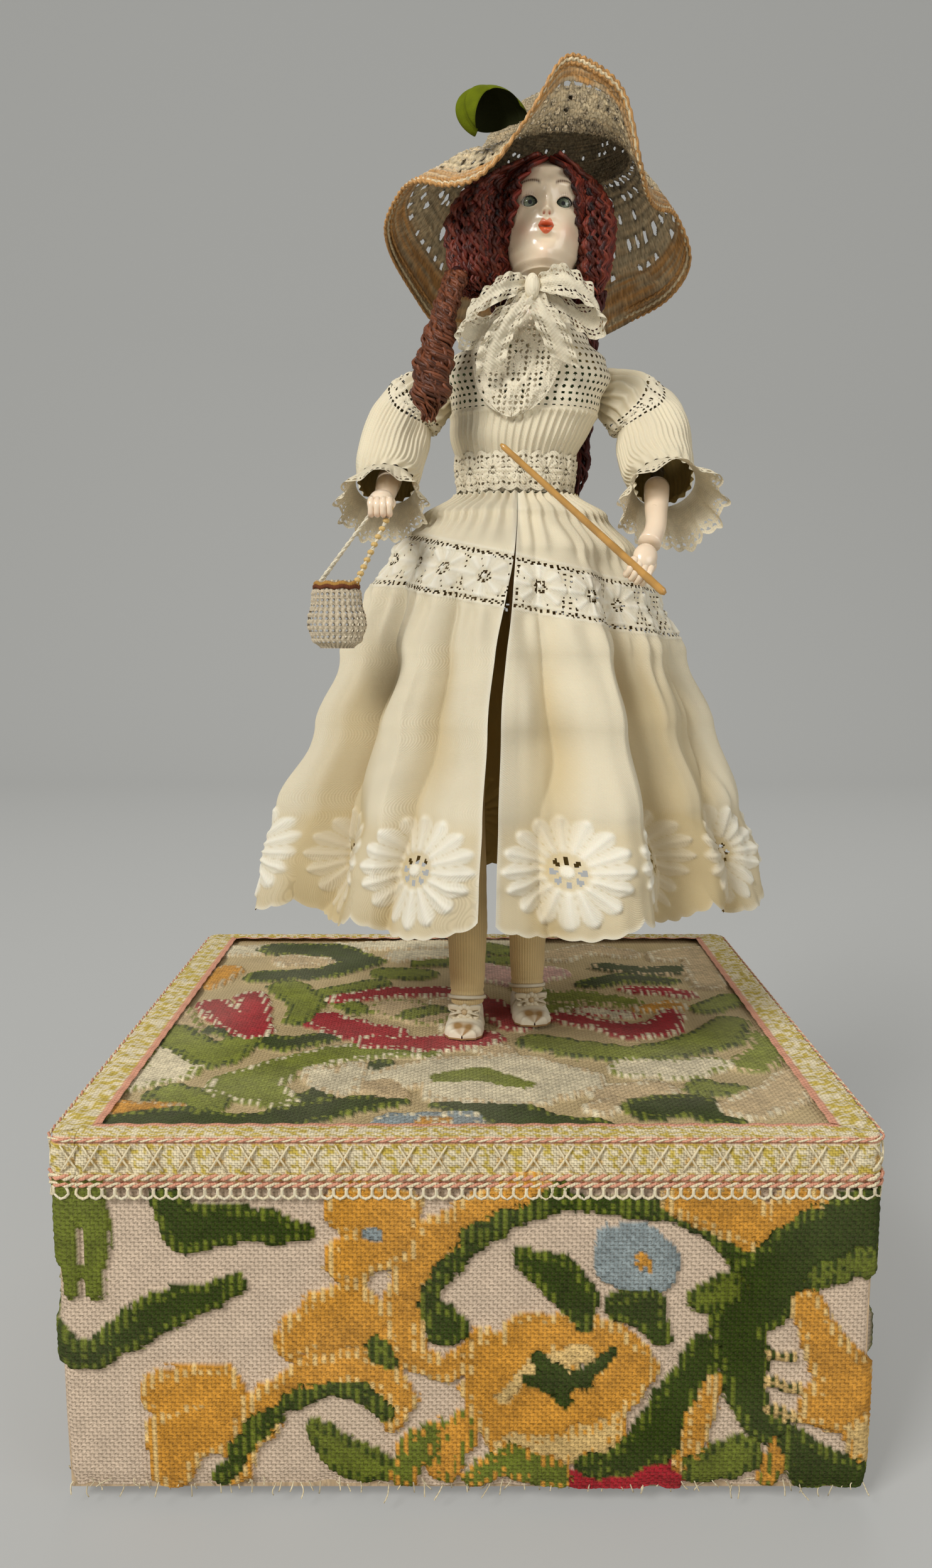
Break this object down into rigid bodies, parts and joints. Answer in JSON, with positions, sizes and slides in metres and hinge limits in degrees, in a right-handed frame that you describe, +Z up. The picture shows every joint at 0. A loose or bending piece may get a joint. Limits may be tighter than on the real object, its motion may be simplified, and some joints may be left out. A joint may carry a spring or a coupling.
{
  "type": "automaton doll",
  "caption": "Dressed doll automaton with stick and bag, on a cloth-covered box that holds its wound music and cam movement.",
  "frame": {"origin": "on the floor, under the middle of the whole object, winding key included", "axes": "+Z up, the doll looks along -Y, its left hand is on the +X side"},
  "size_m": [0.263, 0.277, 0.492],
  "materials": {
    "box_wood": "plain sawn softwood",
    "floral_pile": "cut pile floral cloth on a plain weave ground",
    "faded_pile": "the same cloth, faded",
    "woven_braid": "woven braid with cords and picots",
    "dark_wood": "dark stained turned wood",
    "movement_brass": "aged brass",
    "movement_steel": "aged bright steel",
    "bisque": "tinted bisque with a soft glaze",
    "eye_glass": "blown glass eye",
    "mohair": "auburn mohair",
    "straw": "openwork plaited straw",
    "leaf_velvet": "green velvet",
    "ivory_cotton": "fine ivory cotton",
    "lace": "pinkish cream lace",
    "stocking": "fine ribbed stocking",
    "pale_leather": "worn pale leather",
    "cane": "varnished cane"
  },
  "bodies": {
    "root": {"front_panel": "box_wood", "back_panel": "box_wood", "right_panel": "box_wood", "left_panel": "box_wood", "bottom_board": "box_wood", "top_board": "box_wood", "front_right_foot": "dark_wood", "front_left_foot": "dark_wood", "back_right_foot": "dark_wood", "back_left_foot": "dark_wood", "side_cover": "floral_pile", "top_cover": "faded_pile", "edge_braid": "woven_braid", "front_plate": "movement_brass", "back_plate": "movement_brass", "steel_comb": "movement_steel", "lever_axle": "movement_steel", "right_shoe": "pale_leather", "left_shoe": "pale_leather", "right_leg": "stocking", "left_leg": "stocking", "stand_rod": "movement_steel", "torso": "box_wood", "blouse": "ivory_cotton", "lace_belt": "lace", "jabot": "lace", "neck_bow": "lace", "skirt": "ivory_cotton"},
    "barrel": {"spring_barrel": "movement_brass"},
    "key": {"winding_arbor": "movement_steel", "winding_key": "movement_brass"},
    "cylinder": {"music_cylinder": "movement_brass"},
    "cams": {"cam_shaft": "movement_brass"},
    "governor": {"governor_fly": "movement_steel"},
    "click": {"ratchet_click": "movement_steel"},
    "stop": {"stop_lever": "movement_brass"},
    "right_lever": {"right_arm_lever": "movement_steel"},
    "left_lever": {"left_arm_lever": "movement_steel"},
    "right_rod": {"right_arm_push_rod": "movement_steel"},
    "left_rod": {"left_arm_push_rod": "movement_steel"},
    "neck": {"neck_and_shaft": "movement_steel"},
    "head": {"head": "bisque", "right_eye": "eye_glass", "left_eye": "eye_glass", "wig": "mohair", "straw_hat": "straw", "hat_leaf": "leaf_velvet"},
    "right_arm": {"right_arm_wire": "movement_steel", "right_forearm": "bisque", "right_sleeve": "ivory_cotton", "right_cuff": "lace"},
    "left_arm": {"left_arm_wire": "movement_steel", "left_forearm": "bisque", "left_sleeve": "ivory_cotton", "left_cuff": "lace", "walking_stick": "cane"},
    "bag": {"bag": "lace", "bag_handle": "lace"}
  },
  "joints": [
    {"name": "barrel_turn", "type": "hinge", "parent": "root", "child": "barrel", "pos_m": [-0.028, -0.017, 0.062], "axis": [0, 1, 0], "continuous": true},
    {"name": "cylinder_turn", "type": "hinge", "parent": "root", "child": "cylinder", "pos_m": [0.0095, -0.017, 0.062], "axis": [0, 1, 0], "continuous": true},
    {"name": "cam_turn", "type": "hinge", "parent": "root", "child": "cams", "pos_m": [0.0395, -0.017, 0.062], "axis": [0, 1, 0], "continuous": true},
    {"name": "governor_turn", "type": "hinge", "parent": "root", "child": "governor", "pos_m": [0.0195, -0.017, 0.04468], "axis": [0, 1, 0], "continuous": true},
    {"name": "key_turn", "type": "hinge", "parent": "root", "child": "key", "pos_m": [-0.028, -0.017, 0.062], "axis": [0, 1, 0], "continuous": true},
    {"name": "click_lift", "type": "hinge", "parent": "root", "child": "click", "pos_m": [-0.014, 0, 0.0746], "axis": [0, 1, 0], "range_deg": [0, 12]},
    {"name": "stop_slide", "type": "slide", "parent": "root", "child": "stop", "axis": [1, 0, 0], "range_m": [0, 0.008]},
    {"name": "right_arm_lift", "type": "hinge", "parent": "root", "child": "right_arm", "pos_m": [-0.014, -0.011, 0.373], "axis": [-1, 0, 0], "range_deg": [0, 25]},
    {"name": "left_arm_lift", "type": "hinge", "parent": "root", "child": "left_arm", "pos_m": [0.059, -0.011, 0.373], "axis": [-1, 0, 0], "range_deg": [0, 25]},
    {"name": "right_rod_slide", "type": "slide", "parent": "root", "child": "right_rod", "axis": [0, 0, 1], "range_m": [0, 0.0043]},
    {"name": "left_rod_slide", "type": "slide", "parent": "root", "child": "left_rod", "axis": [0, 0, 1], "range_m": [0, 0.0043]},
    {"name": "right_lever_lift", "type": "hinge", "parent": "root", "child": "right_lever", "pos_m": [0.058, -0.017, 0.08], "axis": [0, 1, 0], "range_deg": [0, 6.75]},
    {"name": "left_lever_lift", "type": "hinge", "parent": "root", "child": "left_lever", "pos_m": [0.058, -0.017, 0.08], "axis": [0, 1, 0], "range_deg": [0, 8.1]},
    {"name": "head_turn", "type": "hinge", "parent": "root", "child": "neck", "pos_m": [0.025, -0.017, 0.39], "axis": [0, 0, 1], "range_deg": [-18, 18]},
    {"name": "head_nod", "type": "hinge", "parent": "neck", "child": "head", "pos_m": [0.025, -0.017, 0.407], "axis": [1, 0, 0], "range_deg": [-5, 5]},
    {"name": "bag_swing", "type": "hinge", "parent": "right_arm", "child": "bag", "pos_m": [-0.03, -0.059, 0.326], "axis": [1, 0, 0], "range_deg": [-20, 1]}
  ],
  "couplings": [
    {"joint": "cylinder_turn", "follows": "barrel_turn", "ratio": -4},
    {"joint": "cam_turn", "follows": "barrel_turn", "ratio": 4},
    {"joint": "governor_turn", "follows": "barrel_turn", "ratio": 12},
    {"joint": "right_rod_slide", "follows": "right_arm_lift", "m_per_rad": 0.0096},
    {"joint": "left_rod_slide", "follows": "left_arm_lift", "m_per_rad": 0.0096},
    {"joint": "right_lever_lift", "follows": "right_arm_lift", "ratio": 0.26667},
    {"joint": "left_lever_lift", "follows": "left_arm_lift", "ratio": 0.32}
  ]
}
